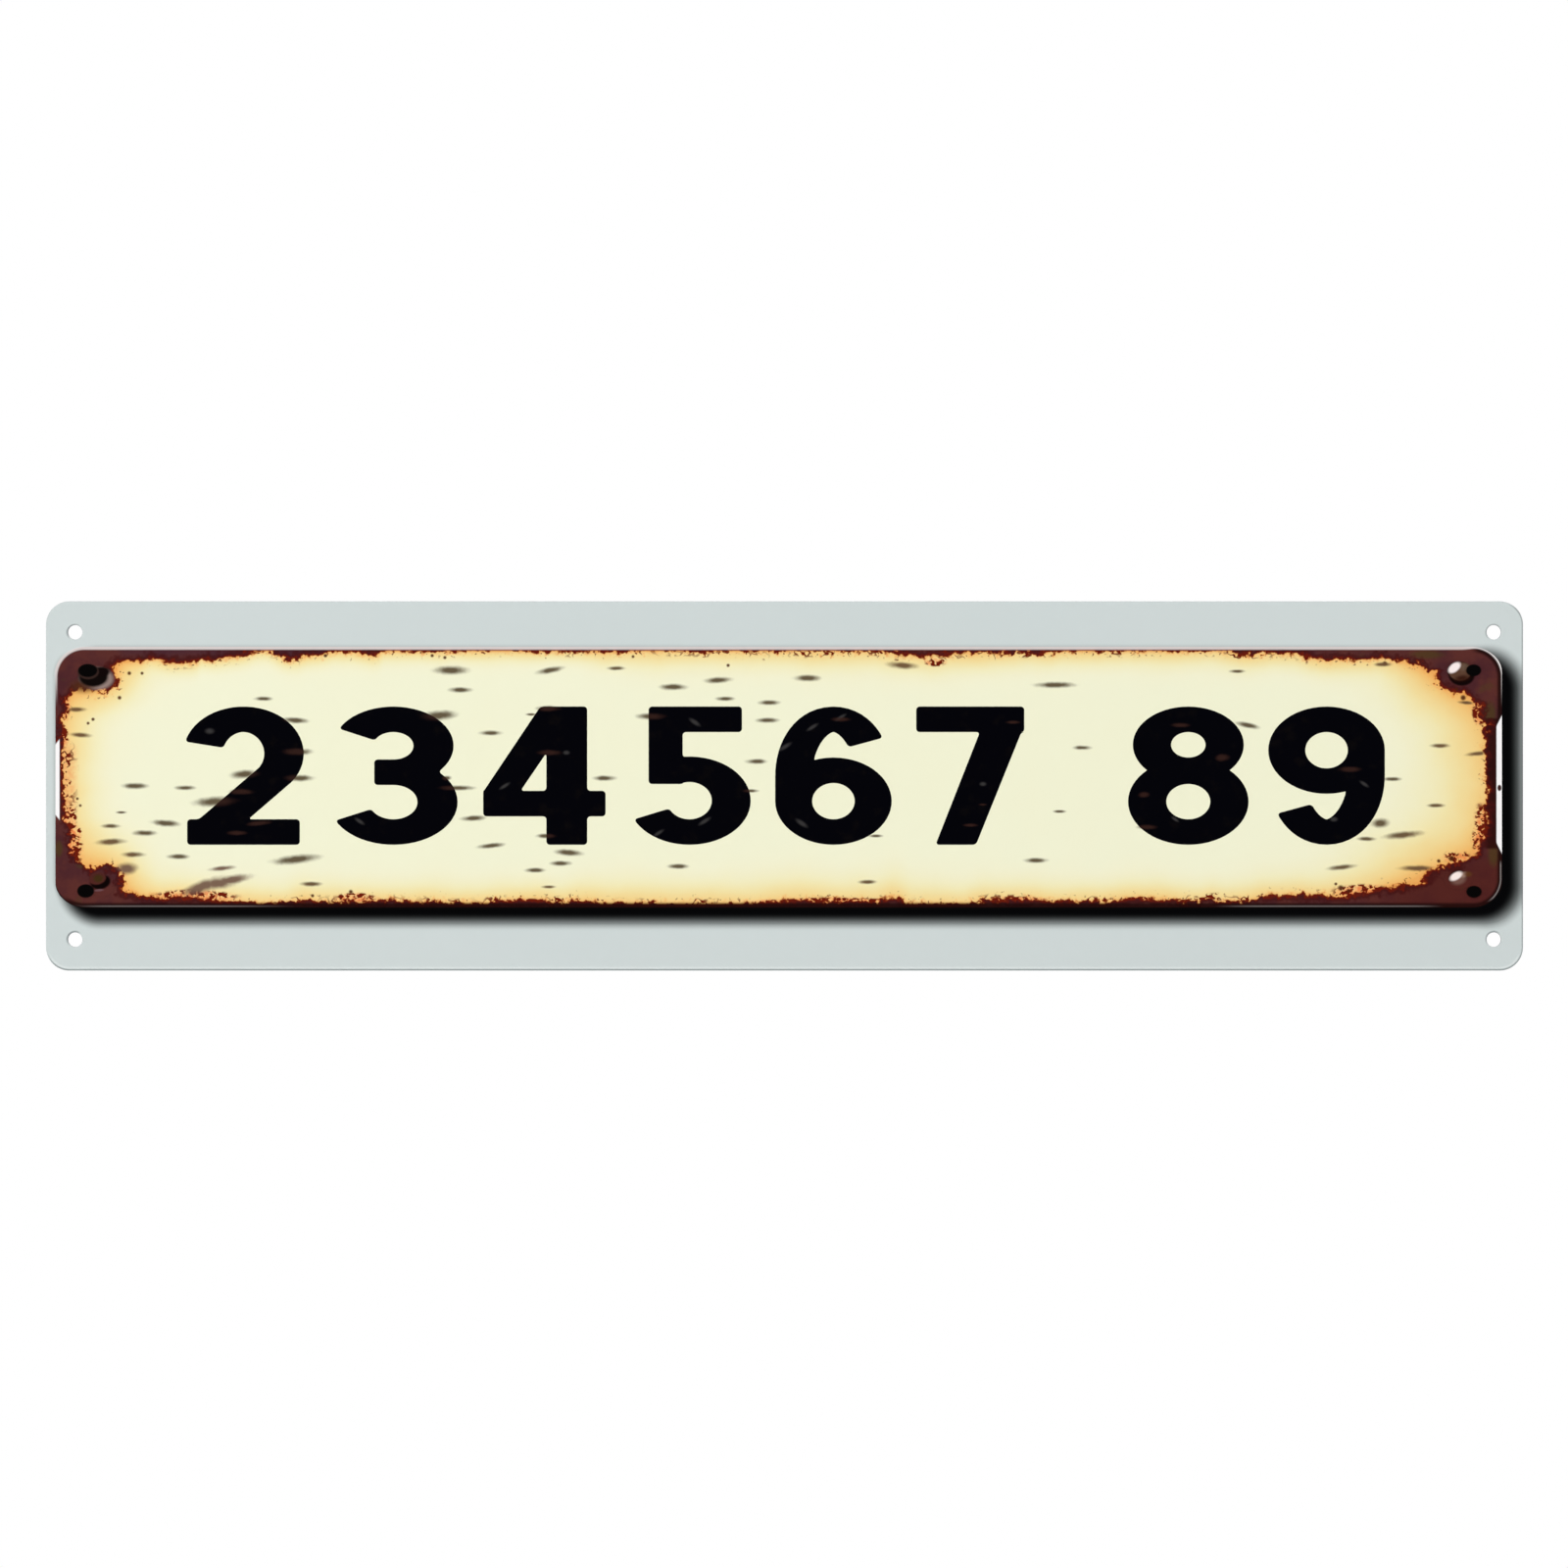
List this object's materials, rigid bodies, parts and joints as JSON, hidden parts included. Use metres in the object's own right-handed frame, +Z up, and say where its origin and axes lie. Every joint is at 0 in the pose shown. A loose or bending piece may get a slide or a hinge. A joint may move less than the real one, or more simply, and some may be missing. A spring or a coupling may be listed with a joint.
{
  "type": "street name sign",
  "caption": "Flat metal street name sign with rounded corners and corner holes, printed with a cream panel that has a rusted brown border and a drop shadow.",
  "frame": {"origin": "centre of the sheet's flat back face", "axes": "+X along the sign's width to the reader's right, +Y out of the back towards the wall, +Z up, so the printed front faces -Y"},
  "size_m": [0.4064, 0.0012, 0.1016],
  "materials": {
    "coated_aluminium": "pale grey satin coating",
    "shadow_ink": "black ink",
    "rust_ink": "brown ink",
    "cream_ink": "cream ink",
    "rivet_ink": "grey brown ink",
    "bolt_ink": "black ink"
  },
  "bodies": {
    "root": {"sign_sheet": "coated_aluminium", "printed_shadow": "shadow_ink", "rusted_panel": "rust_ink", "cream_field": "cream_ink", "printed_rivet_top_left": "rivet_ink", "printed_rivet_top_right": "rivet_ink", "printed_rivet_bottom_left": "rivet_ink", "printed_rivet_bottom_right": "rivet_ink", "printed_bolt_top_left": "bolt_ink", "printed_bolt_top_right": "bolt_ink", "printed_bolt_bottom_left": "bolt_ink", "printed_bolt_bottom_right": "bolt_ink"}
  },
  "joints": []
}
